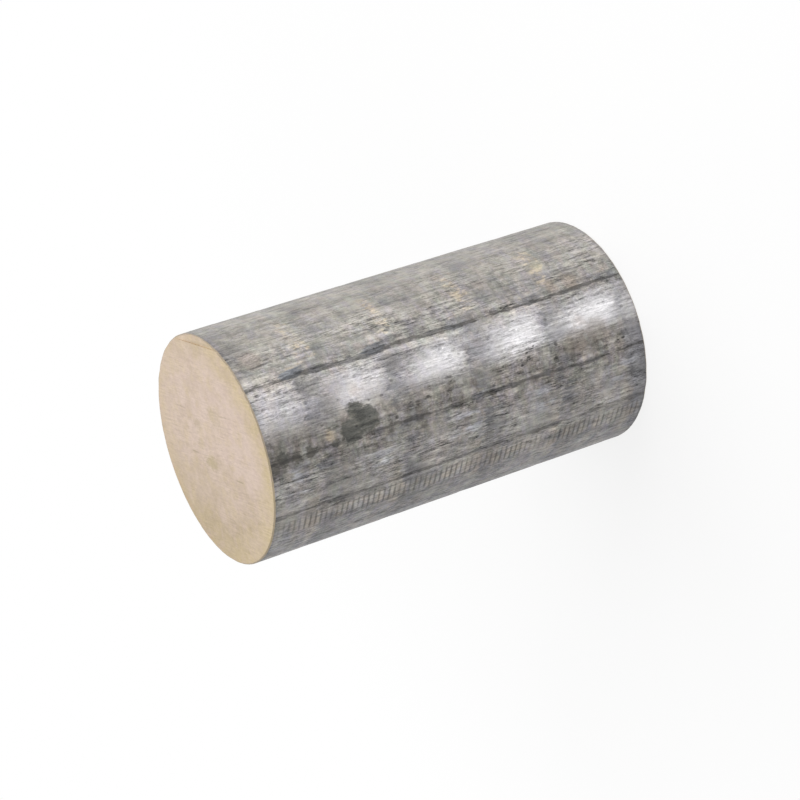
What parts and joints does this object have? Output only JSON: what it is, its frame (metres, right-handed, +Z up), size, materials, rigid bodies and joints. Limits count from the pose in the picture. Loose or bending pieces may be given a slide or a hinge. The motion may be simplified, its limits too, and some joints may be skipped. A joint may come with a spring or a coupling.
{
  "type": "round metal bar",
  "caption": "Short length of solid round bronze bar stock with a grey as-cast barrel and two bare sawn ends, for turning, boring or clamping.",
  "frame": {"origin": "middle of the plain sawn end, which the bar stands on", "axes": "+Z up along the bar's axis, from the plain end to the end with the saw's break-out ledge; -Y to the side that the picture's camera looks at; the ledge's middle lies 18 degrees from +X towards -Y"},
  "size_m": [0.054, 0.054, 0.1],
  "materials": {
    "cast_bronze": "matt grey as-cast skin on the barrel, bare sawn bronze on both ends"
  },
  "bodies": {
    "root": {"round_bar": "cast_bronze"}
  },
  "joints": []
}
